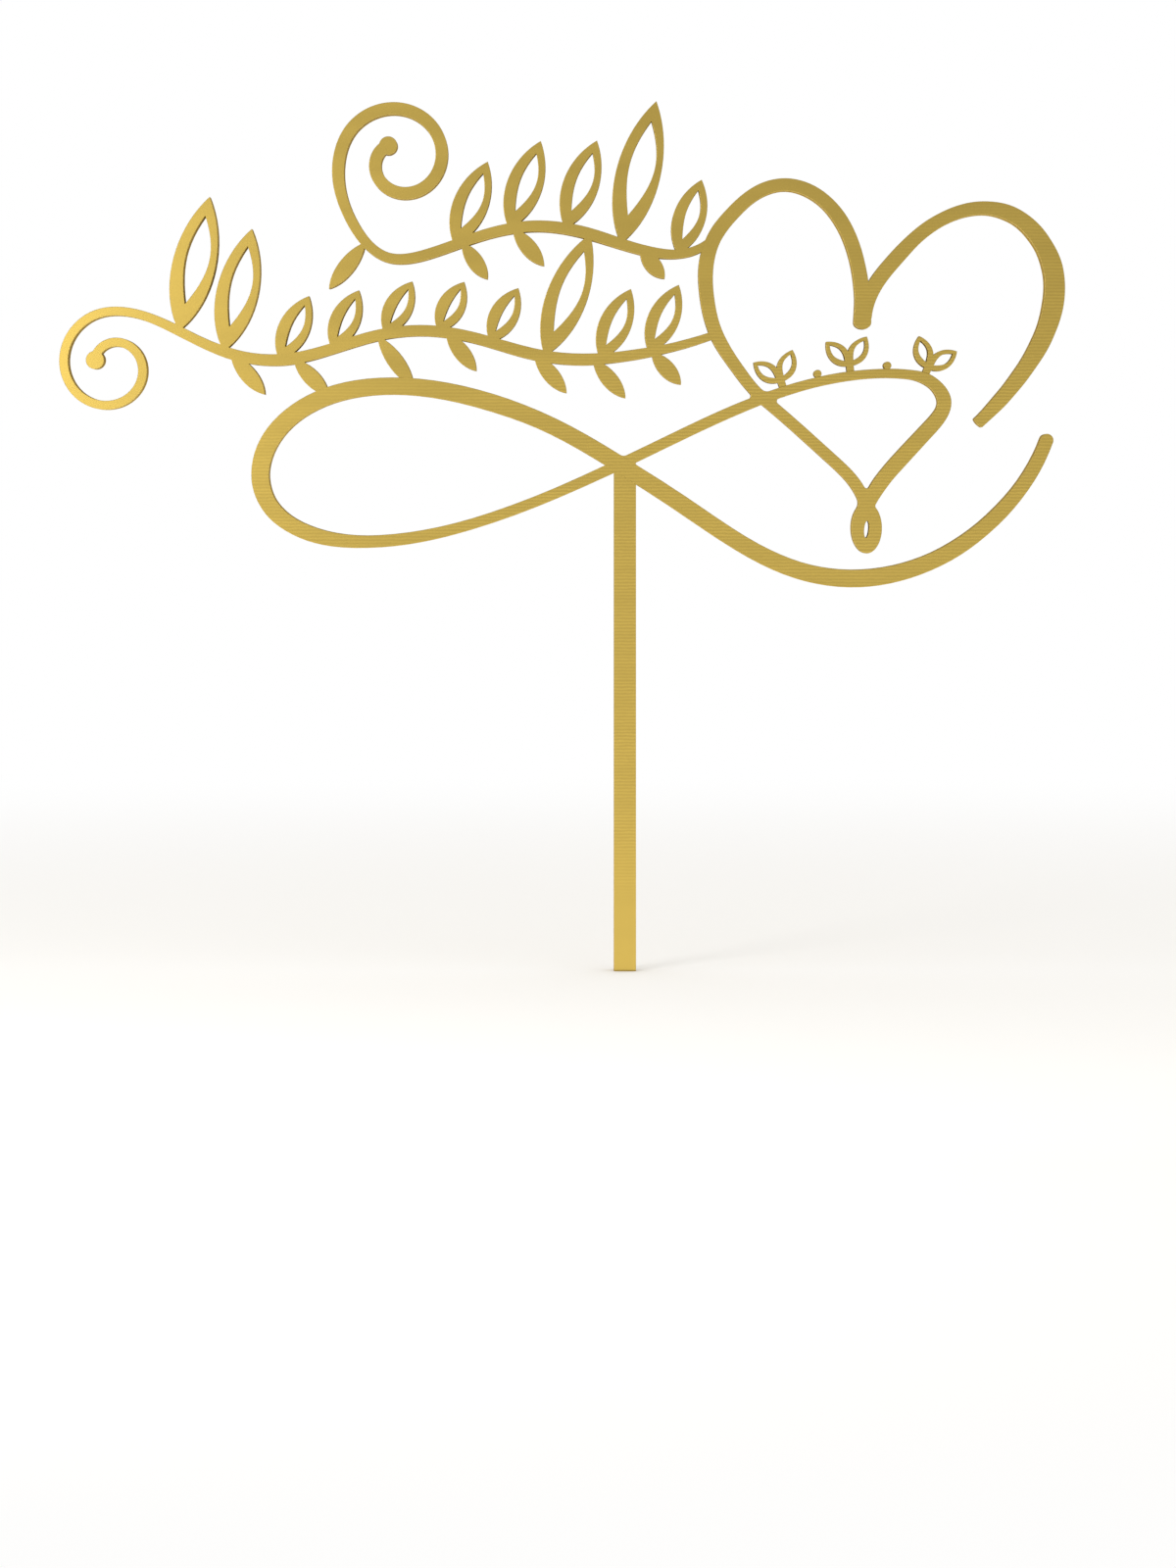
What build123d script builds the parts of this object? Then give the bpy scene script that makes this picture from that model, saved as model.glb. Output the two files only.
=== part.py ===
from build123d import *

import math
import os

# Cake topper: an infinity sign whose pen line runs on into an open heart, carried by one flat stem. Two
# leaf sprays stand beside the heart, and a row of small sprouts and beads stands inside it.
# Every piece is cut from one laminated sheet, an acrylic core with a thin gold film on its face and on
# its back, and the pieces are bonded edge to edge. The sheet stands in the XZ plane with its face towards
# -Y. The origin is the middle of the stem's square foot. Sizes are in millimetres, angles in degrees.

# The laminated sheet
CORE_THICKNESS = 2.7
FILM_THICKNESS = 0.15

# The stem, and the crossing of the infinity sign that it carries
STEM_WIDTH = 3.4
CROSSING_HEIGHT = 77.6
CROSSING_SHIFT = 0.8

# The pen that draws the infinity sign and the heart, at its full width
BAND_WIDTH = 2.7

# The infinity sign: a closed loop to the left of the crossing and an open sweep to its right
LOOP_LENGTH = 55.0
LOOP_RISE = 12.0
LOOP_DROP = 11.8
SWEEP_LENGTH = 65.8
SWEEP_DROP = 17.5

# The heart, placed by its axis, which runs through the cleft and the tip
HEART_WIDTH = 53.4
HEART_HEIGHT = 55.2
HEART_AXIS_OUT = 37.5
HEART_TIP_DROP = 12.3

# The drop that hangs at the heart's tip, with a slit through it
DROP_WIDTH = 4.7
DROP_HEIGHT = 7.8
DROP_SHIFT = 0.3
SLIT_WIDTH = 0.75
SLIT_HEIGHT = 2.6
SLIT_DROP = 0.2
SLIT_LEAN = -5.0

# The radii that the cutter leaves in the notches between two strokes, in the bend over the crossing of the
# heart's line, in the crotch over the crossing of the infinity sign and the sharp notch to its right, and
# on either side of the waist above the drop
NOTCH_RADIUS = 0.45
BEND_RADIUS = 1.2
CROTCH_RADIUS = 1.0
SHARP_NOTCH_RADIUS = 0.2
LEFT_WAIST_RADIUS = 1.6
RIGHT_WAIST_RADIUS = 0.45

# The sprays: a fine stem that rolls up into a curl, open leaves above it and solid buds below
SPRAY_PEN = 1.9
LEAF_LENGTH = 13.0
LEAF_BREADTH = 5.2
LEAF_THICK_RIM = 1.8
LEAF_THIN_RIM = 1.15
BUD_BREADTH = 2.5
CURL_KNOB_RADIUS = 1.4
UPPER_SPRAY_LENGTH = 57.6
UPPER_SPRAY_RISE = 11.4
UPPER_CURL_RADIUS = 9.3
UPPER_CURL_HEADING = 92.0
UPPER_CURL_TURNS = -1.15
LOWER_SPRAY_LENGTH = 89.7
LOWER_SPRAY_RISE = 3.3
LOWER_CURL_RADIUS = 8.7
LOWER_CURL_HEADING = 160.0
LOWER_CURL_TURNS = 1.25

# The row of sprouts and beads inside the heart
STALK_WIDTH = 1.1
STALK_HEIGHT = 1.5
SPROUT_LEAF_LENGTH = 5.2
SPROUT_LEAF_BREADTH = 2.9
SPROUT_RIM = 0.75
SPROUT_SPREAD = 37.0
BEAD_RADIUS = 0.6

# Points of the pen lines: across, up and the pen's width. The first two are shares of the sizes of the
# figure, from the crossing, the heart's tip or the spray's root, and the third is a share of the pen.
SWEEP_SHARES = [
    (0.994, 0.21, 0.74),
    (0.945, -0.15, 0.78),
    (0.870, -0.48, 0.85),
    (0.758, -0.79, 0.91),
    (0.542, -1.00, 1.00),
    (0.418, -0.93, 0.99),
    (0.290, -0.71, 0.97),
    (0.149, -0.36, 0.98),
]
LOOP_TOP_SHARES = [
    (0.000, 0.00, 0.96),
    (-0.202, 0.52, 0.95),
    (-0.365, 0.80, 1.00),
    (-0.632, 1.00, 0.97),
    (-0.885, 0.71, 1.00),
    (-0.980, 0.25, 1.04),
]
LOOP_BOTTOM_SHARES = [
    (-1.000, -0.21, 1.00),
    (-0.969, -0.57, 0.94),
    (-0.902, -0.82, 0.88),
    (-0.673, -1.00, 0.70),
    (-0.361, -0.70, 0.61),
    (-0.180, -0.38, 0.60),
    (0.000, 0.00, 0.62),
]
ARC_SHARES = [
    (-0.551, 0.293, 0.62),
    (-0.401, 0.361, 0.62),
    (-0.259, 0.416, 0.58),
    (-0.119, 0.455, 0.54),
    (0.020, 0.474, 0.51),
    (0.121, 0.473, 0.53),
    (0.188, 0.454, 0.66),
    (0.229, 0.397, 0.78),
    (0.183, 0.320, 0.86),
    (0.110, 0.244, 0.89),
    (0.046, 0.171, 0.86),
]
LEFT_LOBE_SHARES = [
    (-0.022, 0.163, 0.66),
    (-0.097, 0.240, 0.65),
    (-0.256, 0.377, 0.64),
    (-0.317, 0.430, 0.65),
    (-0.364, 0.488, 0.68),
    (-0.424, 0.582, 0.77),
    (-0.453, 0.695, 0.81),
    (-0.454, 0.777, 0.85),
    (-0.428, 0.857, 0.83),
    (-0.378, 0.920, 0.79),
    (-0.310, 0.976, 0.75),
    (-0.230, 0.999, 0.71),
    (-0.132, 0.967, 0.75),
    (-0.060, 0.887, 0.80),
    (-0.022, 0.790, 0.81),
    (-0.007, 0.696, 0.85),
    (-0.006, 0.616, 0.99),
]
RIGHT_LOBE_SHARES = [
    (0.000, 0.634, 0.82),
    (0.026, 0.713, 0.86),
    (0.089, 0.793, 0.86),
    (0.157, 0.860, 0.79),
    (0.237, 0.910, 0.74),
    (0.337, 0.934, 0.75),
    (0.430, 0.913, 0.87),
    (0.503, 0.847, 0.98),
    (0.541, 0.763, 1.12),
    (0.542, 0.669, 1.15),
    (0.512, 0.574, 1.05),
    (0.455, 0.480, 0.91),
    (0.400, 0.412, 0.83),
    (0.326, 0.338, 0.67),
]
NECK_SHARE = 0.36
WAIST_SHARE = 0.44
ARC_NECK_PEN_SHARE = 0.72
LOBE_NECK_PEN_SHARE = 0.62
UPPER_STEM_SHARES = [
    (0.000, 0.00, 0.62),
    (-0.076, -0.22, 0.70),
    (-0.193, -0.18, 0.85),
    (-0.336, 0.04, 0.95),
    (-0.479, 0.14, 0.90),
    (-0.622, 0.01, 0.85),
    (-0.753, -0.22, 0.85),
    (-0.870, -0.28, 0.80),
    (-0.966, 0.21, 0.85),
    (-1.000, 1.00, 1.00),
]
LOWER_STEM_SHARES = [
    (0.000, 0.00, 0.62),
    (-0.065, -0.55, 0.70),
    (-0.149, -1.00, 0.85),
    (-0.232, -1.18, 0.95),
    (-0.316, -0.91, 0.95),
    (-0.400, -0.27, 0.90),
    (-0.483, 0.14, 0.90),
    (-0.567, 0.00, 0.90),
    (-0.651, -0.64, 0.90),
    (-0.734, -1.18, 0.95),
    (-0.818, -1.00, 0.90),
    (-0.901, -0.09, 0.80),
    (-1.000, 1.00, 0.72),
]
CURL_EYE_SHARE = 0.3

# Leaves and buds: the place along the stem from the root, the length as a share of a leaf's, and the
# direction in degrees, anticlockwise from the right
UPPER_LEAF_SHARES = [
    (0.057, 0.92, 72),
    (0.135, 1.73, 76),
    (0.213, 1.10, 70),
    (0.289, 1.10, 70),
    (0.366, 1.06, 68),
]
UPPER_BUD_SHARES = [
    (0.108, 0.45, -50),
    (0.284, 0.58, -50),
    (0.355, 0.53, -55),
    (0.495, 0.70, -128),
]
LOWER_LEAF_SHARES = [
    (0.078, 0.87, 66),
    (0.133, 0.90, 66),
    (0.258, 0.72, 62),
    (0.317, 0.66, 62),
    (0.377, 0.70, 62),
    (0.438, 0.76, 65),
    (0.498, 0.83, 65),
    (0.561, 1.48, 77),
    (0.616, 1.62, 77),
]
LOWER_BUD_SHARES = [
    (0.075, 0.52, -48),
    (0.141, 0.60, -50),
    (0.207, 0.60, -50),
    (0.308, 0.58, -52),
    (0.553, 0.63, -50),
]

# Where the strokes leave notches: where the heart's line crosses itself and inside its tip, as shares of
# the heart's sizes from its tip, and in the crotch of the crossing, as shares of the pen from its middle
HEART_CROSSING_OUT_SHARE = -0.287
HEART_CROSSING_UP_SHARE = 0.405
TIP_NOTCH_SHARE = 0.146
CROTCH_SHARES = (0.5, 0.25)

# How far the heart's strokes bulge at their free ends, as a share of half the pen
CLEFT_END_SHARE = 0.75
RIGHT_LOBE_END_SHARE = 0.3

# Where one piece meets another, as a share of the length of the line that carries it
UPPER_ROOT_SHARE = 0.557
LOWER_ROOT_SHARE = 0.39
LINK_LEAF_SHARES = (0.195, 0.178)
LINK_LEAF_BREADTH_SHARE = 1.2
LINK_BUD_SHARES = [(0.482, 0.614), (0.385, 0.550)]
BEAD_SEAT_SHARE = 0.8

# Where the sprouts and the beads stand, as a share of the heart's width out from its axis
SPROUT_SHARES = {"left": -0.23, "middle": -0.04, "right": 0.17}
BEAD_SHARES = {"left": -0.13, "right": 0.064}

# The bow of a leaf's and a bud's sides, and the ends of a leaf's eye, as shares along their length
LEAF_BOW_SHARES = (0.25, 0.70)
EYE_BOW_SHARES = (0.40, 0.65)
EYE_END_SHARES = (0.20, 0.86)
BUD_BOW_SHARES = (0.30, 0.75)
BOW_REACH_SHARE = 4 / 3

# How many places a stroke's edges are laid out at from one of its points to the next, and how many
# places along the arc are tried for the foot of a sprout or a bead
EDGE_STEPS = 5
ARC_STEPS = 500

CROSSING = Vector(-CROSSING_SHIFT, CROSSING_HEIGHT)
HEART_TIP = CROSSING + Vector(HEART_AXIS_OUT, -HEART_TIP_DROP)
DROP_MIDDLE = HEART_TIP + Vector(DROP_SHIFT, DROP_HEIGHT / 2 - BAND_WIDTH / 2)
HEART_NECK = DROP_MIDDLE + Vector(0, DROP_HEIGHT * NECK_SHARE)
HEART_WAIST = DROP_MIDDLE + Vector(0, DROP_HEIGHT * WAIST_SHARE)
HEART_CROSSING = HEART_TIP + Vector(
    HEART_WIDTH * HEART_CROSSING_OUT_SHARE, HEART_HEIGHT * HEART_CROSSING_UP_SHARE
)
TIP_NOTCH = HEART_TIP + Vector(0, HEART_HEIGHT * TIP_NOTCH_SHARE)
CROTCH = CROSSING + Vector(*CROTCH_SHARES) * BAND_WIDTH


class Stroke:
    """A pen stroke: a smooth line through points, with the pen's width at each of them.

    It starts with a half round, and its end bulges by end_share of half the pen.
    """

    def __init__(self, points, widths, end_share=1):
        with BuildLine() as pen:
            Spline(*points)
        self.line = pen.edge()
        self.widths = widths
        self.end_share = end_share
        lengths = [0]
        for near, far in zip(points, points[1:]):
            lengths.append(lengths[-1] + (far - near).length)
        self.places = [length / lengths[-1] for length in lengths]

    def width_at(self, place):
        """The pen's width at a place, passing smoothly from one point's width to the next."""
        last = len(self.places) - 2
        i = min(last, sum(place > end for end in self.places[1:]))
        part = (place - self.places[i]) / (self.places[i + 1] - self.places[i])
        return self.widths[i] + (self.widths[i + 1] - self.widths[i]) * part**2 * (3 - 2 * part)

    def draw(self, *cuts):
        """Draws the stroke and its ends, in stretches from cut to cut that don't cross themselves."""
        for start, end in zip((0, *cuts), (*cuts, 1)):
            count = round((end - start) * len(self.widths) * EDGE_STEPS)
            left, right = [], []
            for i in range(count + 1):
                place = start + (end - start) * i / count
                across = (self.line % place).rotate(Axis.Z, 90) * (self.width_at(place) / 2)
                left.append(self.line @ place + across)
                right.append(self.line @ place - across)
            with BuildLine(mode=Mode.PRIVATE) as edge:
                Spline(*left)
                Line(left[-1], right[-1])
                Spline(*reversed(right))
                Line(right[0], left[0])
            make_face(edge.edges())
        for place, share in ((0, 1), (1, self.end_share)):
            reach = self.width_at(place) / 2
            heading = self.line % place
            with Locations(self.line @ place):
                Ellipse(reach, reach * share, rotation=math.degrees(math.atan2(-heading.X, heading.Y)))


def placed(shares, start, width, height, pen):
    """The points and the pen's widths of a table of shares, laid out from start."""
    points = [start + Vector(across * width, up * height) for across, up, _ in shares]
    return points, [pen * share for _, _, share in shares]


def curled(points, widths, heading, radius, turns):
    """A spray's stem that goes on from its last point, towards heading, into a spiral.

    A positive number of turns rolls up to the left, a negative one to the right.
    """
    out = Vector(math.copysign(radius, turns), 0).rotate(Axis.Z, heading - 90)
    middle = points[-1] - out
    steps = round(abs(turns) * EDGE_STEPS * 2)
    curl = []
    for i in range(1, steps + 1):
        shrink = 1 - (1 - CURL_EYE_SHARE) * i / steps
        curl.append(middle + out.rotate(Axis.Z, turns * 360 * i / steps) * shrink)
    return Stroke(points + curl, widths + [widths[-1]] * len(curl))


def almond(base, tip, left_reach, right_reach, bow_shares, mode=Mode.ADD):
    """Draws a pointed oval from base to tip, which reaches out by left_reach and right_reach."""
    along = tip - base
    left = along.rotate(Axis.Z, 90).normalized() * BOW_REACH_SHARE
    low, high = [base + along * share for share in bow_shares]
    with BuildLine(mode=Mode.PRIVATE) as rim:
        Bezier(base, low + left * left_reach, high + left * left_reach, tip)
        Bezier(tip, high - left * right_reach, low - left * right_reach, base)
    make_face(rim.edges(), mode=mode)


def leaf(base, tip, breadth, left_rim, right_rim):
    """Draws an open leaf: a rim of its own thickness on either side of an eye."""
    along = tip - base
    eye_base, eye_tip = [base + along * share for share in EYE_END_SHARES]
    almond(base, tip, breadth / 2, breadth / 2, LEAF_BOW_SHARES)
    almond(eye_base, eye_tip, breadth / 2 - left_rim, breadth / 2 - right_rim, EYE_BOW_SHARES, Mode.SUBTRACT)


def bud(base, tip):
    """Draws a solid bud."""
    almond(base, tip, BUD_BREADTH / 2, BUD_BREADTH / 2, BUD_BOW_SHARES)


def spray(stem, leaf_shares, bud_shares):
    """Draws a spray: its stem, the knob at the end of its curl, its leaves and its buds."""
    stem.draw(1 / 2, 3 / 4)
    with Locations(stem.line @ 1):
        Circle(CURL_KNOB_RADIUS)
    for place, length, direction in leaf_shares:
        reach = Vector(LEAF_LENGTH * length, 0).rotate(Axis.Z, direction)
        base = stem.line @ place
        leaf(base, base + reach, LEAF_BREADTH * math.sqrt(length), LEAF_THICK_RIM, LEAF_THIN_RIM)
    for place, length, direction in bud_shares:
        reach = Vector(LEAF_LENGTH * length, 0).rotate(Axis.Z, direction)
        bud(stem.line @ place, stem.line @ place + reach)


def cut_by(outline, *others):
    """Cuts an outline back to the edges of others, and drops any sliver that this leaves."""
    for other in others:
        add(other.sketch, mode=Mode.SUBTRACT)
    add(outline.faces().sort_by(SortBy.AREA)[-1], mode=Mode.REPLACE)


def corners_near(outline, place, count):
    """The corners of an outline that are nearest to a place, from the lowest to the highest."""
    return outline.vertices().sort_by_distance(place)[:count].sort_by(Axis.Y)


outlines = {}

# The infinity sign, in one pen line from the end of the sweep to the crossing, round the loop and back
sweep_points, sweep_widths = placed(SWEEP_SHARES, CROSSING, SWEEP_LENGTH, SWEEP_DROP, BAND_WIDTH)
top_points, top_widths = placed(LOOP_TOP_SHARES, CROSSING, LOOP_LENGTH, LOOP_RISE, BAND_WIDTH)
bottom_points, bottom_widths = placed(LOOP_BOTTOM_SHARES, CROSSING, LOOP_LENGTH, LOOP_DROP, BAND_WIDTH)
infinity = Stroke(sweep_points + top_points + bottom_points, sweep_widths + top_widths + bottom_widths)
with BuildSketch() as infinity_outline:
    infinity.draw(0.4, 0.7)
outlines["infinity"] = infinity_outline

# The heart: the same pen line goes on from the crossing over the arc to the drop, and from there round
# the left lobe to the cleft. Its notches are rounded, also those that it leaves with the infinity sign.
arc_points, arc_widths = placed(ARC_SHARES, HEART_TIP, HEART_WIDTH, HEART_HEIGHT, BAND_WIDTH)
lobe_points, lobe_widths = placed(LEFT_LOBE_SHARES, HEART_TIP, HEART_WIDTH, HEART_HEIGHT, BAND_WIDTH)
arc = Stroke(
    [CROSSING] + arc_points + [HEART_NECK],
    [bottom_widths[-1]] + arc_widths + [BAND_WIDTH * ARC_NECK_PEN_SHARE],
)
left_lobe = Stroke(
    [HEART_NECK] + lobe_points, [BAND_WIDTH * LOBE_NECK_PEN_SHARE] + lobe_widths, CLEFT_END_SHARE
)
with BuildSketch() as heart_outline:
    arc.draw(0.6)
    left_lobe.draw(0.5)
    with Locations(DROP_MIDDLE):
        Ellipse(DROP_WIDTH / 2, DROP_HEIGHT / 2)
    fillet(corners_near(heart_outline, HEART_CROSSING, 4)[1:3], NOTCH_RADIUS)
    fillet(corners_near(heart_outline, HEART_CROSSING, 2)[1], BEND_RADIUS)
    fillet(corners_near(heart_outline, TIP_NOTCH, 1), NOTCH_RADIUS)
    for side, radius in ((-1, LEFT_WAIST_RADIUS), (1, RIGHT_WAIST_RADIUS)):
        fillet(corners_near(heart_outline, HEART_WAIST + Vector(side * DROP_WIDTH / 4, 0), 1), radius)
    with Locations(DROP_MIDDLE - Vector(0, SLIT_DROP)):
        Ellipse(SLIT_WIDTH / 2, SLIT_HEIGHT / 2, rotation=SLIT_LEAN, mode=Mode.SUBTRACT)
    add(infinity_outline.sketch)
    fillet(corners_near(heart_outline, CROTCH, 2)[1], CROTCH_RADIUS)
    fillet(corners_near(heart_outline, CROTCH, 3)[0], SHARP_NOTCH_RADIUS)
    cut_by(heart_outline, infinity_outline)
outlines["heart"] = heart_outline

# The right lobe, which springs from the cleft and ends free
lobe_points, lobe_widths = placed(RIGHT_LOBE_SHARES, HEART_TIP, HEART_WIDTH, HEART_HEIGHT, BAND_WIDTH)
right_lobe = Stroke(lobe_points, lobe_widths, RIGHT_LOBE_END_SHARE)
with BuildSketch() as right_lobe_outline:
    right_lobe.draw(0.5)
    cut_by(right_lobe_outline, infinity_outline, heart_outline)
outlines["right_lobe"] = right_lobe_outline

# The stem, whose top is cut to the two strands that meet over it
with BuildSketch() as stem_outline:
    Rectangle(STEM_WIDTH, CROSSING_HEIGHT, align=(Align.CENTER, Align.MIN))
    cut_by(stem_outline, infinity_outline)
outlines["stem"] = stem_outline

# The upper spray, which grows from the heart's left lobe
upper_points, upper_widths = placed(
    UPPER_STEM_SHARES, left_lobe.line @ UPPER_ROOT_SHARE, UPPER_SPRAY_LENGTH, UPPER_SPRAY_RISE, SPRAY_PEN
)
upper_stem = curled(upper_points, upper_widths, UPPER_CURL_HEADING, UPPER_CURL_RADIUS, UPPER_CURL_TURNS)
with BuildSketch() as upper_spray_outline:
    spray(upper_stem, UPPER_LEAF_SHARES, UPPER_BUD_SHARES)
    cut_by(upper_spray_outline, heart_outline)
outlines["upper_spray"] = upper_spray_outline

# The lower spray, which grows from the heart too, reaches up to the upper spray with one tall leaf and
# stands on the infinity sign with two of its buds
lower_points, lower_widths = placed(
    LOWER_STEM_SHARES, left_lobe.line @ LOWER_ROOT_SHARE, LOWER_SPRAY_LENGTH, LOWER_SPRAY_RISE, SPRAY_PEN
)
lower_stem = curled(lower_points, lower_widths, LOWER_CURL_HEADING, LOWER_CURL_RADIUS, LOWER_CURL_TURNS)
link_foot, link_top = LINK_LEAF_SHARES
with BuildSketch() as lower_spray_outline:
    spray(lower_stem, LOWER_LEAF_SHARES, LOWER_BUD_SHARES)
    leaf(
        lower_stem.line @ link_foot,
        upper_stem.line @ link_top,
        LEAF_BREADTH * LINK_LEAF_BREADTH_SHARE,
        LEAF_THICK_RIM,
        LEAF_THIN_RIM,
    )
    for foot, top in LINK_BUD_SHARES:
        bud(lower_stem.line @ foot, infinity.line @ top)
    cut_by(lower_spray_outline, infinity_outline, heart_outline, upper_spray_outline)
outlines["lower_spray"] = lower_spray_outline


def place_on_arc(share):
    """The first place along the arc that is as far out from the heart's axis as share says."""
    x = HEART_TIP.X + HEART_WIDTH * share
    return next(i / ARC_STEPS for i in range(ARC_STEPS) if (arc.line @ (i / ARC_STEPS)).X >= x)


# The sprouts, each a short stalk on the arc with two open leaves
for side, share in SPROUT_SHARES.items():
    place = place_on_arc(share)
    foot = arc.line @ place
    up = (arc.line % place).rotate(Axis.Z, 90)
    fork = foot + up * STALK_HEIGHT
    with BuildSketch() as sprout_outline:
        Stroke([foot, fork], [STALK_WIDTH, STALK_WIDTH]).draw()
        for spread in (SPROUT_SPREAD, -SPROUT_SPREAD):
            tip = fork + up.rotate(Axis.Z, spread) * SPROUT_LEAF_LENGTH
            leaf(fork, tip, SPROUT_LEAF_BREADTH, SPROUT_RIM, SPROUT_RIM)
        cut_by(sprout_outline, heart_outline)
    outlines[f"{side}_sprout"] = sprout_outline

# The beads between the sprouts
for side, share in BEAD_SHARES.items():
    place = place_on_arc(share)
    up = (arc.line % place).rotate(Axis.Z, 90)
    with BuildSketch() as bead_outline:
        with Locations(arc.line @ place + up * (arc.width_at(place) / 2 + BEAD_RADIUS * BEAD_SEAT_SHARE)):
            Circle(BEAD_RADIUS)
        cut_by(bead_outline, heart_outline)
    outlines[f"{side}_bead"] = bead_outline

# The three layers of the sheet, cut to each outline: where each starts, towards the face, and how thick
layers = {
    "core": (-CORE_THICKNESS / 2, CORE_THICKNESS),
    "face_film": (CORE_THICKNESS / 2, FILM_THICKNESS),
    "back_film": (-CORE_THICKNESS / 2 - FILM_THICKNESS, FILM_THICKNESS),
}
os.makedirs("parts", exist_ok=True)
for piece, outline in outlines.items():
    for layer, (start, thickness) in layers.items():
        with BuildPart() as sheet:
            with BuildSketch(Plane.XZ.offset(start)):
                add(outline.sketch)
            extrude(amount=thickness)
        sheet.part.label = f"{piece}_{layer}"
        export_step(sheet.part, f"parts/{piece}_{layer}.step")
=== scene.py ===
import math

import bpy
from mathutils import Matrix, Vector
from mathutils.bvhtree import BVHTree


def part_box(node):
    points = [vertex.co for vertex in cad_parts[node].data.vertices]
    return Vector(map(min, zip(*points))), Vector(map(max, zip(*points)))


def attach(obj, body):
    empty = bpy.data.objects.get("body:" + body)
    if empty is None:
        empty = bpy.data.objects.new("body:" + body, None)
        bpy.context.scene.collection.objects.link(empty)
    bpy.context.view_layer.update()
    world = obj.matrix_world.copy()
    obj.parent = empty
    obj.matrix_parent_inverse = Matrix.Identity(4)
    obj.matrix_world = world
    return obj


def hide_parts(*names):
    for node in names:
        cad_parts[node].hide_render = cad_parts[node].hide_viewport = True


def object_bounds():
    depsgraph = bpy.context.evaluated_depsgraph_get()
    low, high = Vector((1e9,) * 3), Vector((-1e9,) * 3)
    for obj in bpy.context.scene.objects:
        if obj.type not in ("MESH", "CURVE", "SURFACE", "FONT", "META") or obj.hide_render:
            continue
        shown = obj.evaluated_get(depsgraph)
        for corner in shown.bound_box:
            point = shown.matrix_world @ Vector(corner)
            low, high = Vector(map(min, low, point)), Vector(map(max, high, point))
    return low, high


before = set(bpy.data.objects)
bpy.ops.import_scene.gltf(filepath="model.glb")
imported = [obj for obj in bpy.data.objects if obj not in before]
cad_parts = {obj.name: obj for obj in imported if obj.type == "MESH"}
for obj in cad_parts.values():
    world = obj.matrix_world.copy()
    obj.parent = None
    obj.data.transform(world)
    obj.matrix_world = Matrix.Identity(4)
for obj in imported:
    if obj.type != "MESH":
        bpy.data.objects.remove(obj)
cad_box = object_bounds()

bpy.context.scene.view_settings.view_transform = "Standard"

# The cores. Every piece has a core of cast acrylic, cut in outline by a laser, and the cut wall between
# the two films is all of it that shows. The pieces are cemented to one another along that wall, edge to
# edge, and the CAD solids already have its shape.
MM = 0.001
CUT_LINE_MM = 0.5
CUT_LINE_LENGTH_MM = 25.0
CUT_LINE_DEPTH_MM = 0.03
CUT_LINE_RELIEF = 0.4
# The acrylic's two tones: its amber, darkened with painted shade of the cut walls.
ACRYLIC_DARK_WITH_PAINTED_SHADE = "#866E34"
ACRYLIC_LIGHT_WITH_PAINTED_SHADE = "#957D3E"
ACRYLIC_IOR = 1.49
ACRYLIC_ROUGHNESS = 0.8

# Nearly all the values of a noise texture lie between these two.
NOISE_LOW = 0.3
NOISE_HIGH = 0.7


def linear(colour):
    """An sRGB hex colour as the linear colour that a shader takes."""
    shares = [int(colour[i : i + 2], 16) / 255 for i in (1, 3, 5)]
    return (*[s / 12.92 if s <= 0.04045 else ((s + 0.055) / 1.055) ** 2.4 for s in shares], 1)


def set_inputs(tree, node, inputs):
    """Sets or links a node's inputs, each by its name or its number."""
    for name, value in inputs.items():
        if isinstance(value, bpy.types.NodeSocket):
            tree.links.new(value, node.inputs[name])
        else:
            node.inputs[name].default_value = value


def add_node(tree, kind, inputs=None, stops=(), **settings):
    """Adds a node with its settings and its inputs, and with a ramp's stops: their places and colours."""
    node = tree.nodes.new(kind)
    for name, value in settings.items():
        setattr(node, name, value)
    for i, (position, colour) in enumerate(stops):
        node.color_ramp.elements[i].position = position
        node.color_ramp.elements[i].color = linear(colour)
    set_inputs(tree, node, inputs or {})
    return node


def new_material(name):
    """A new material, its node tree, its shader and the object coordinates that its patterns follow."""
    material = bpy.data.materials.new(name)
    material.use_nodes = True
    tree = material.node_tree
    place = add_node(tree, "ShaderNodeTexCoord").outputs["Object"]
    return material, tree, tree.nodes["Principled BSDF"], place


# Cast acrylic, amber all through. Its tones are darker than the amber alone, with painted shade of the cut
# walls in them. The laser leaves its wall matte, with fine lines from face to back.
# The real lines are about 0.2 mm apart, and are drawn coarser here so that they show.
acrylic, tree, shader, place = new_material("laser_cut_acrylic_painted_shade")
stretch = CUT_LINE_MM / CUT_LINE_LENGTH_MM
across = add_node(tree, "ShaderNodeMapping", {"Vector": place, "Scale": (1, stretch, 1)}).outputs["Vector"]
lines = add_node(
    tree, "ShaderNodeTexNoise", {"Vector": across, "Scale": 1 / (CUT_LINE_MM * MM), "Detail": 2.0}
).outputs["Fac"]
tone = add_node(
    tree,
    "ShaderNodeValToRGB",
    {"Fac": lines},
    stops=((NOISE_LOW, ACRYLIC_DARK_WITH_PAINTED_SHADE), (NOISE_HIGH, ACRYLIC_LIGHT_WITH_PAINTED_SHADE)),
).outputs["Color"]
relief = add_node(
    tree, "ShaderNodeBump", {"Height": lines, "Strength": CUT_LINE_RELIEF, "Distance": CUT_LINE_DEPTH_MM * MM}
).outputs["Normal"]
set_inputs(tree, shader, {"Base Color": tone, "Normal": relief})
set_inputs(tree, shader, {"IOR": ACRYLIC_IOR, "Roughness": ACRYLIC_ROUGHNESS, "Specular IOR Level": 0})

for name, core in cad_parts.items():
    if name.endswith("_core"):
        core.data.materials.clear()
        core.data.materials.append(acrylic)

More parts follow.
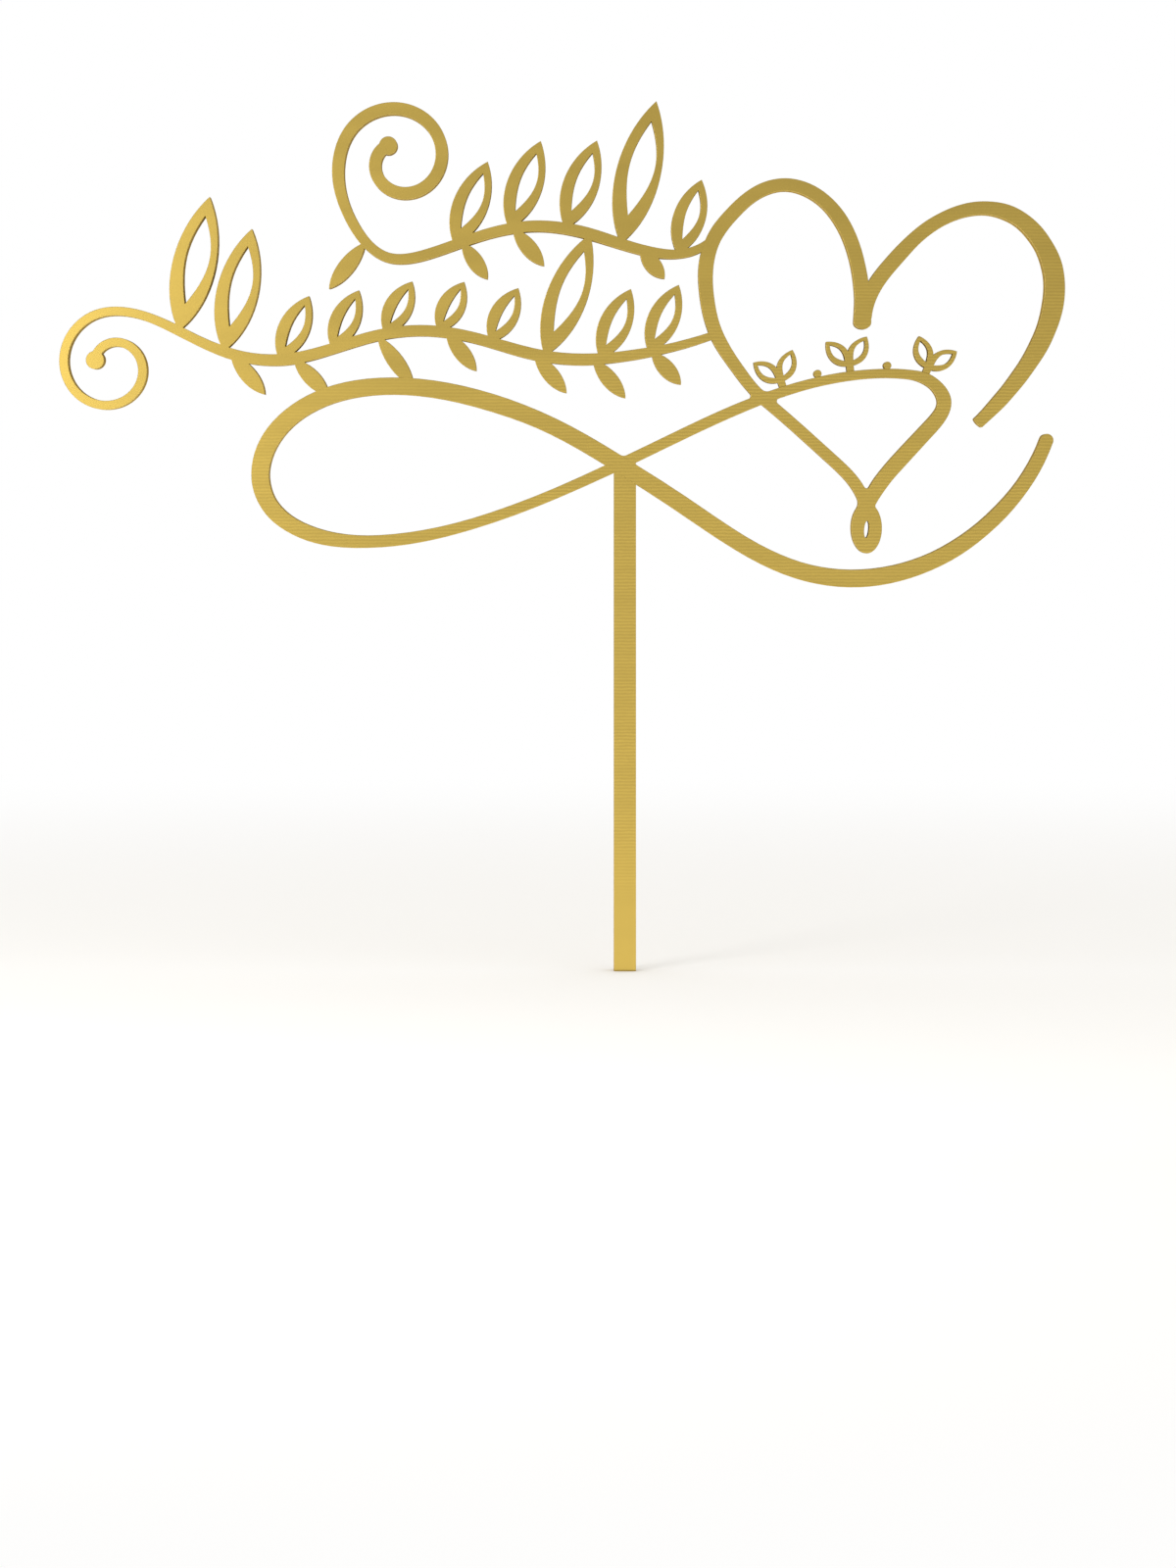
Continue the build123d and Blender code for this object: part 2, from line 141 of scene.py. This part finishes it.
# The film on the face: gold-lacquered metal foil on a polyester carrier, 0.15 mm thick, laminated to the
# core before the cut and brushed level, from side to side. The laser softens its arris, but not where two
# strokes run into each other and the film goes on.
ARRIS_MM = 0.06
ARRIS_STEPS = 5
CREASE_DEGREES = 40
JOIN_FADE_MM = 0.3
TOLERANCE_MM = 0.001
OUTLINE_DIGITS = 4

# Geometry Nodes cut a film to an outline, which is drawn flat and in millimetres, and whose radius says how
# much of the arris each of its points has. The outer side is filled inside the arris, the inner side out to
# the edge, and the wall between them follows the outline and leans in over the arris, as a quarter round.
film_tree = bpy.data.node_groups.new("film_cut_to_outline", "GeometryNodeTree")
for name, kind in (
    ("Outline", "NodeSocketGeometry"),
    ("Thickness", "NodeSocketFloat"),
    ("Arris", "NodeSocketFloat"),
    ("Steps", "NodeSocketInt"),
    ("Crease", "NodeSocketFloat"),
    ("Finish", "NodeSocketMaterial"),
):
    film_tree.interface.new_socket(name, in_out="INPUT", socket_type=kind)
film_tree.interface.new_socket("Film", in_out="OUTPUT", socket_type="NodeSocketGeometry")
given = add_node(film_tree, "NodeGroupInput").outputs
level = add_node(film_tree, "GeometryNodeSetCurveNormal", {"Curve": given["Outline"]}, mode="Z_UP").outputs[0]
marked = add_node(film_tree, "GeometryNodeCaptureAttribute", {"Geometry": level})
marked.capture_items.new("VECTOR", "Outwards")
marked.capture_items.new("FLOAT", "Softness")
normal = add_node(film_tree, "GeometryNodeInputNormal").outputs["Normal"]
radius = add_node(film_tree, "GeometryNodeInputRadius").outputs["Radius"]
set_inputs(film_tree, marked, {"Outwards": normal, "Softness": radius})
outline = add_node(
    film_tree, "GeometryNodeSetCurveRadius", {"Curve": marked.outputs["Geometry"], "Radius": 1.0}
).outputs[0]
reach = add_node(
    film_tree, "ShaderNodeMath", {0: marked.outputs["Softness"], 1: given["Arris"]}, operation="MULTIPLY"
).outputs[0]
outwards = add_node(
    film_tree, "ShaderNodeVectorMath", {0: marked.outputs["Outwards"], "Scale": reach}, operation="SCALE"
).outputs["Vector"]
inwards = add_node(
    film_tree, "ShaderNodeVectorMath", {0: outwards, "Scale": -1.0}, operation="SCALE"
).outputs["Vector"]

inner_line = add_node(
    film_tree, "GeometryNodeSetPosition", {"Geometry": outline, "Offset": inwards}
).outputs[0]
inner_fill = add_node(film_tree, "GeometryNodeFillCurve", {0: inner_line}).outputs[0]
up = add_node(film_tree, "ShaderNodeCombineXYZ", {"Z": given["Thickness"]}).outputs["Vector"]
outer_side = add_node(
    film_tree, "GeometryNodeSetPosition", {"Geometry": inner_fill, "Offset": up}
).outputs[0]
outline_fill = add_node(film_tree, "GeometryNodeFillCurve", {0: outline}).outputs[0]
inner_side = add_node(film_tree, "GeometryNodeFlipFaces", {0: outline_fill}).outputs[0]
both_sides = add_node(film_tree, "GeometryNodeJoinGeometry")
film_tree.links.new(outer_side, both_sides.inputs[0])
film_tree.links.new(inner_side, both_sides.inputs[0])
flat_sides = add_node(
    film_tree, "GeometryNodeSetShadeSmooth", {"Geometry": both_sides.outputs[0], "Shade Smooth": False}
).outputs[0]

wall_height = add_node(
    film_tree, "ShaderNodeMath", {0: given["Thickness"], 1: given["Arris"]}, operation="SUBTRACT"
).outputs[0]
below = add_node(film_tree, "ShaderNodeMath", {0: wall_height, 1: -1.0}, operation="MULTIPLY").outputs[0]
to_arris = add_node(film_tree, "ShaderNodeCombineXYZ", {"Y": below}).outputs[0]
wall = add_node(
    film_tree, "GeometryNodeCurvePrimitiveLine", {"Start": (0, 0, 0), "End": to_arris}
).outputs[0]
arc = add_node(
    film_tree,
    "GeometryNodeCurveArc",
    {"Resolution": given["Steps"], "Radius": given["Arris"], "Start Angle": 0.0, "Sweep Angle": math.pi / 2},
).outputs[0]
arc_heights = add_node(
    film_tree, "GeometryNodeTransform", {"Geometry": arc, "Translation": to_arris, "Scale": (0, -1, 1)}
).outputs[0]
profile = add_node(film_tree, "GeometryNodeJoinGeometry")
film_tree.links.new(wall, profile.inputs[0])
film_tree.links.new(arc_heights, profile.inputs[0])
upright_rim = add_node(
    film_tree, "GeometryNodeCurveToMesh", {"Curve": outline, "Profile Curve": profile.outputs[0]}
).outputs[0]
position = add_node(film_tree, "GeometryNodeInputPosition").outputs[0]
height = add_node(film_tree, "ShaderNodeSeparateXYZ", {0: position}).outputs["Z"]
climb = add_node(
    film_tree,
    "ShaderNodeMapRange",
    {"Value": height, "From Min": wall_height, "From Max": given["Thickness"]},
).outputs["Result"]
angle = add_node(film_tree, "ShaderNodeMath", {0: climb}, operation="ARCSINE").outputs[0]
upright = add_node(film_tree, "ShaderNodeMath", {0: angle}, operation="COSINE").outputs[0]
lean = add_node(film_tree, "ShaderNodeMath", {0: 1.0, 1: upright}, operation="SUBTRACT").outputs[0]
lean_in = add_node(
    film_tree, "ShaderNodeVectorMath", {0: inwards, "Scale": lean}, operation="SCALE"
).outputs["Vector"]
leaning_rim = add_node(
    film_tree, "GeometryNodeSetPosition", {"Geometry": upright_rim, "Offset": lean_in}
).outputs[0]
rim = add_node(film_tree, "GeometryNodeFlipFaces", {0: leaning_rim}).outputs[0]

film_faces = add_node(film_tree, "GeometryNodeJoinGeometry")
film_tree.links.new(rim, film_faces.inputs[0])
film_tree.links.new(flat_sides, film_faces.inputs[0])
closed = add_node(
    film_tree, "GeometryNodeMergeByDistance", {"Geometry": film_faces.outputs[0], "Distance": TOLERANCE_MM}
).outputs[0]
bend = add_node(film_tree, "GeometryNodeInputMeshEdgeAngle").outputs["Unsigned Angle"]
sharp = add_node(
    film_tree,
    "FunctionNodeCompare",
    {0: bend, 1: given["Crease"]},
    data_type="FLOAT",
    operation="GREATER_THAN",
).outputs[0]
creased = add_node(
    film_tree,
    "GeometryNodeSetShadeSmooth",
    {"Geometry": closed, "Selection": sharp, "Shade Smooth": False},
    domain="EDGE",
).outputs[0]
plain = add_node(film_tree, "GeometryNodeRealizeInstances", {0: creased}).outputs[0]
finished = add_node(film_tree, "GeometryNodeSetMaterial", {"Geometry": plain, "Material": given["Finish"]})
add_node(film_tree, "NodeGroupOutput", {0: finished.outputs[0]})

# The strokes whose films go on into one another. The sprouts and the beads are only set on the arc, and a
# fine joint line shows under each.
strokes = {}
for piece in ("infinity", "heart", "right_lobe", "stem", "upper_spray", "lower_spray"):
    for film in (piece + "_face_film", piece + "_back_film"):
        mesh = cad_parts[film].data
        strokes[film] = BVHTree.FromPolygons(
            [vertex.co for vertex in mesh.vertices], [polygon.vertices for polygon in mesh.polygons]
        )


def softness(film, point):
    """How much of the arris a film has at a point: none where it goes on into another stroke's film."""
    if film not in strokes:
        return 1
    fade = JOIN_FADE_MM * MM
    gaps = [stroke.find_nearest(point, fade)[3] for other, stroke in strokes.items() if other != film]
    return min([gap / fade for gap in gaps if gap is not None], default=1)


def outline_of(film, side):
    """The rim of a film's outer face, as closed loops seen from that side, with the film on their left."""
    low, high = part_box(film)
    depth = low.y if side < 0 else high.y
    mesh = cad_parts[film].data
    edges = set()
    for triangle in mesh.polygons:
        corners = [mesh.vertices[i].co for i in triangle.vertices]
        if all(abs(corner.y - depth) < TOLERANCE_MM * MM for corner in corners):
            flat = [
                (round(-side * corner.x / MM, OUTLINE_DIGITS), round(corner.z / MM, OUTLINE_DIGITS))
                for corner in corners
            ]
            edges.update(zip(flat, flat[1:] + flat[:1]))
    following = {start: end for start, end in edges if (end, start) not in edges}
    loops = []
    while following:
        first = min(following)
        loop = [first]
        while (point := following.pop(loop[-1])) != first:
            loop.append(point)
        loops.append(loop)
    return loops


def cut_film(film, side, finish):
    """Cuts a film to its CAD outline and sets it in its place, on the face (side -1) or the back (1)."""
    low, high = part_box(film)
    seat, skin = (high.y, low.y) if side < 0 else (low.y, high.y)
    curve = bpy.data.curves.new(film + ".outline", "CURVE")
    for loop in outline_of(film, side):
        spline = curve.splines.new("POLY")
        spline.points.add(len(loop) - 1)
        for point, (across, height) in zip(spline.points, loop):
            point.co = (across, height, 0, 1)
            point.radius = softness(film, (-side * across * MM, skin, height * MM))
        spline.use_cyclic_u = True
    drawing = bpy.data.objects.new(film + ".outline", curve)
    bpy.context.collection.objects.link(drawing)
    modifier = drawing.modifiers.new("cut", "NODES")
    modifier.node_group = film_tree
    sockets = {item.name: item.identifier for item in film_tree.interface.items_tree}
    modifier[sockets["Thickness"]] = (high.y - low.y) / MM
    modifier[sockets["Arris"]] = ARRIS_MM
    modifier[sockets["Steps"]] = ARRIS_STEPS
    modifier[sockets["Crease"]] = math.radians(CREASE_DEGREES)
    modifier[sockets["Finish"]] = finish
    mesh = bpy.data.meshes.new_from_object(drawing.evaluated_get(bpy.context.evaluated_depsgraph_get()))
    bpy.data.objects.remove(drawing)
    turn = Matrix.Rotation(math.pi if side > 0 else 0, 4, "Z") @ Matrix.Rotation(math.pi / 2, 4, "X")
    mesh.transform(Matrix.Translation((0, seat, 0)) @ turn @ Matrix.Scale(MM, 4))
    piece = bpy.data.objects.new(film + ".cut", mesh)
    bpy.context.collection.objects.link(piece)
    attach(piece, "root")
    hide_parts(film)
    return piece


# Gold-lacquered foil with a brushed grain: satin, with fine level lines, lighter and darker by turns, that
# waver a little, and long streaks among them that are a little duller or brighter, with deeper or shallower
# lines. The brush bears on the middle of the sheet: its lines fade out at the foot and towards the top left.
BRUSH_LINE_MM = 0.5
BRUSH_DEPTH_MM = 0.002
BRUSH_RELIEF = 0.3
BRUSH_WAVER_MM = 1.3
BRUSH_WAVER_RADIANS = 1.6
BRUSH_SHALLOW_SHARE = 0.4
BRUSH_UNMARKED = 0.5
BRUSH_FOOT_NONE_MM = 9.0
BRUSH_FOOT_FULL_MM = 20.0
BRUSH_TOP_NONE_MM = 112.0
BRUSH_TOP_FULL_MM = 80.0
BRUSH_TOP_TILT_DEGREES = 15
STREAK_MM = 4.0
STREAK_LENGTH_MM = 25.0
STREAK_SHARE = 0.35
GRAIN_LOW = 0.1
GRAIN_HIGH = 0.9
BRUSHED_DARK = "#947E3D"
BRUSHED_LIGHT = "#AB9247"
BRUSHED_SMOOTHEST = 0.32
BRUSHED_ROUGHEST = 0.42

# A wave texture draws this many bands in one unit of its space. It shifts them by an angle, a full turn of
# which is one band.
WAVE_BANDS = 10 / math.pi

brushed_gold, tree, shader, place = new_material("brushed_gold_foil")
stretch = STREAK_MM / STREAK_LENGTH_MM
along = add_node(
    tree, "ShaderNodeMapping", {"Vector": place, "Scale": (stretch, stretch, 1)}
).outputs["Vector"]
streaks = add_node(
    tree, "ShaderNodeTexNoise", {"Vector": along, "Scale": 1 / (STREAK_MM * MM), "Detail": 2.0}
).outputs["Fac"]
waver = BRUSH_LINE_MM / BRUSH_WAVER_MM
wavering = add_node(
    tree, "ShaderNodeMapping", {"Vector": place, "Scale": (waver, waver, 1)}
).outputs["Vector"]
lines = add_node(
    tree,
    "ShaderNodeTexWave",
    {
        "Vector": wavering,
        "Scale": 1 / (WAVE_BANDS * BRUSH_LINE_MM * MM),
        "Distortion": BRUSH_WAVER_RADIANS,
        "Detail": 1.0,
        "Detail Scale": WAVE_BANDS,
    },
    bands_direction="Z",
).outputs["Fac"]
height = add_node(tree, "ShaderNodeSeparateXYZ", {0: place}).outputs["Z"]
from_foot = add_node(
    tree,
    "ShaderNodeMapRange",
    {"Value": height, "From Min": BRUSH_FOOT_NONE_MM * MM, "From Max": BRUSH_FOOT_FULL_MM * MM},
    interpolation_type="SMOOTHSTEP",
).outputs["Result"]
tilted = add_node(
    tree, "ShaderNodeMapping", {"Vector": place, "Rotation": (0, math.radians(BRUSH_TOP_TILT_DEGREES), 0)}
).outputs["Vector"]
tilted_height = add_node(tree, "ShaderNodeSeparateXYZ", {0: tilted}).outputs["Z"]
from_top = add_node(
    tree,
    "ShaderNodeMapRange",
    {"Value": tilted_height, "From Min": BRUSH_TOP_NONE_MM * MM, "From Max": BRUSH_TOP_FULL_MM * MM},
    interpolation_type="SMOOTHSTEP",
).outputs["Result"]
bearing = add_node(tree, "ShaderNodeMath", {0: from_foot, 1: from_top}, operation="MINIMUM").outputs[0]
uneven = add_node(
    tree,
    "ShaderNodeMapRange",
    {"Value": streaks, "From Min": NOISE_LOW, "From Max": NOISE_HIGH, "To Min": BRUSH_SHALLOW_SHARE},
).outputs["Result"]
depth = add_node(tree, "ShaderNodeMath", {0: bearing, 1: uneven}, operation="MULTIPLY").outputs[0]
scratches = add_node(
    tree, "ShaderNodeMix", {"Factor": depth, "A": BRUSH_UNMARKED, "B": lines}
).outputs["Result"]
grain = add_node(
    tree, "ShaderNodeMix", {"Factor": STREAK_SHARE, "A": scratches, "B": streaks}
).outputs["Result"]
tone = add_node(
    tree,
    "ShaderNodeValToRGB",
    {"Fac": grain},
    stops=((GRAIN_LOW, BRUSHED_DARK), (GRAIN_HIGH, BRUSHED_LIGHT)),
).outputs["Color"]
dull = add_node(
    tree,
    "ShaderNodeMapRange",
    {"Value": streaks, "To Min": BRUSHED_SMOOTHEST, "To Max": BRUSHED_ROUGHEST},
).outputs["Result"]
relief = add_node(
    tree, "ShaderNodeBump", {"Height": scratches, "Strength": BRUSH_RELIEF, "Distance": BRUSH_DEPTH_MM * MM}
).outputs["Normal"]
set_inputs(tree, shader, {"Base Color": tone, "Metallic": 1, "Roughness": dull, "Normal": relief})

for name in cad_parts:
    if name.endswith("_face_film"):
        cut_film(name, -1, brushed_gold)

# The film on the back: the same foil on the same carrier, left satin, without the brushed grain. It is
# laminated to the core as the other is, and cut with it.
CLOUD_MM = 8.0
# The back foil's two tones: lighter than the face foil's, painted light for the dimmer light on the back.
SATIN_DARK_PAINTED_LIGHTER = "#A98F45"
SATIN_LIGHT_PAINTED_LIGHTER = "#B4994A"
SATIN_SMOOTHEST = 0.36
SATIN_ROUGHEST = 0.46

# Gold-lacquered foil as it comes off the roll: satin, with faint clouds that are a little duller or brighter,
# painted lighter than the face foil to make up for the dimmer light on the back.
satin_gold_painted_lighter, tree, shader, place = new_material("satin_gold_foil_painted_lighter")
clouds = add_node(
    tree, "ShaderNodeTexNoise", {"Vector": place, "Scale": 1 / (CLOUD_MM * MM), "Detail": 3.0}
).outputs["Fac"]
tone = add_node(
    tree, "ShaderNodeValToRGB", {"Fac": clouds}, stops=((0, SATIN_DARK_PAINTED_LIGHTER), (1, SATIN_LIGHT_PAINTED_LIGHTER))
).outputs["Color"]
dull = add_node(
    tree, "ShaderNodeMapRange", {"Value": clouds, "To Min": SATIN_SMOOTHEST, "To Max": SATIN_ROUGHEST}
).outputs["Result"]
set_inputs(tree, shader, {"Base Color": tone, "Metallic": 1, "Roughness": dull})

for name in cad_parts:
    if name.endswith("_back_film"):
        cut_film(name, 1, satin_gold_painted_lighter)

# The floor: a plain pale sheet of paper that the topper stands on. It keeps the shadow near the stem and
# fades to the white of the background away from it. Its sizes are in metres.
FLOOR_REACH = 1.2
FLOOR_FADE_START = 0.1
FLOOR_FADE_END = 0.5
PAPER = "#F4F2EE"
PAPER_ROUGHNESS = 0.9

corners = [(x * FLOOR_REACH, y * FLOOR_REACH, 0) for x, y in ((-1, -1), (1, -1), (1, 1), (-1, 1))]
floor_mesh = bpy.data.meshes.new("floor")
floor_mesh.from_pydata(corners, [], [(0, 1, 2, 3)])
floor = bpy.data.objects.new("floor", floor_mesh)
bpy.context.collection.objects.link(floor)

# Pale matte paper. Away from the stem it turns to plain white, for the camera and for what the gold mirrors.
pale, tree, shader, place = new_material("pale_paper")
set_inputs(tree, shader, {"Base Color": linear(PAPER), "Roughness": PAPER_ROUGHNESS})
distance = add_node(tree, "ShaderNodeVectorMath", {0: place}, operation="LENGTH").outputs["Value"]
fade = add_node(
    tree,
    "ShaderNodeMapRange",
    {"Value": distance, "From Min": FLOOR_FADE_START, "From Max": FLOOR_FADE_END},
    interpolation_type="SMOOTHSTEP",
).outputs["Result"]
rays = add_node(tree, "ShaderNodeLightPath").outputs
seen = rays["Is Camera Ray"]
for kind in ("Is Glossy Ray", "Is Transmission Ray"):
    seen = add_node(tree, "ShaderNodeMath", {0: seen, 1: rays[kind]}, operation="MAXIMUM").outputs[0]
share = add_node(tree, "ShaderNodeMath", {0: fade, 1: seen}, operation="MULTIPLY").outputs[0]
white = add_node(tree, "ShaderNodeEmission", {"Color": (1, 1, 1, 1), "Strength": 1.0}).outputs[0]
mixed = add_node(tree, "ShaderNodeMixShader", {0: share, 1: shader.outputs[0], 2: white}).outputs[0]
tree.links.new(mixed, tree.nodes["Material Output"].inputs["Surface"])
floor_mesh.materials.append(pale)

# The light: a plain white surround, and soft panels that the gold mirrors: a bright one on the left, a faint
# one on the right at mid height, two that lie flat in front of the stem, one near and one far, and light the
# face from below, and one that lies flat behind it and lights the back.
world = bpy.data.worlds.new("white_surround")
world.use_nodes = True
background = world.node_tree.nodes["Background"]
set_inputs(world.node_tree, background, {"Color": (1, 1, 1, 1), "Strength": 1})
bpy.context.scene.world = world

# Each panel's place and the point that it faces, its width and its height, all in metres, and its watts
for name, place, target, width, height, power in (
    ("left_panel", (-0.20, -0.30, 0.12), (-0.03, 0, 0.10), 0.10, 0.12, 0.434),
    ("right_panel", (0.05, -0.20, 0.08), (0.03, 0, 0.085), 0.12, 0.04, 0.0087),
    ("near_panel", (-0.04, -0.042, 0.0001), (-0.04, -0.042, 1), 0.36, 0.08, 0.130),
    ("far_panel", (-0.04, -0.32, 0.0005), (-0.04, -0.32, 1), 0.50, 0.50, 0.69),
    ("back_panel", (-0.04, 0.32, 0.0005), (-0.04, 0.32, 1), 0.50, 0.50, 0.69),
):
    lamp = bpy.data.lights.new(name, "AREA")
    lamp.shape = "RECTANGLE"
    lamp.size = width
    lamp.size_y = height
    lamp.energy = power
    panel = bpy.data.objects.new(name, lamp)
    panel.location = place
    panel.rotation_euler = (Vector(target) - Vector(place)).to_track_quat("-Z", "Y").to_euler()
    panel.visible_camera = False
    bpy.context.collection.objects.link(panel)

# The camera: level, square to the face, with the whole height of the image spanning 240 mm at the face. Its
# axis is at about the topper's mid height, and its shift puts the topper in the upper part of the image. Its
# sizes are in metres.
CAMERA_DISTANCE = 0.68
FRAME_HEIGHT = 0.24
FRAME_MIDDLE = Vector((-0.00565, 0, 0.02867))
AXIS_HEIGHT = 0.072

camera_data = bpy.data.cameras.new("camera")
camera_data.lens = camera_data.sensor_width * CAMERA_DISTANCE / FRAME_HEIGHT
camera_data.shift_y = (FRAME_MIDDLE.z - AXIS_HEIGHT) / FRAME_HEIGHT
camera = bpy.data.objects.new("camera", camera_data)
camera.location = (FRAME_MIDDLE.x, cad_box[0].y - CAMERA_DISTANCE, AXIS_HEIGHT)
camera.rotation_euler = (math.pi / 2, 0, 0)
bpy.context.collection.objects.link(camera)
bpy.context.scene.camera = camera
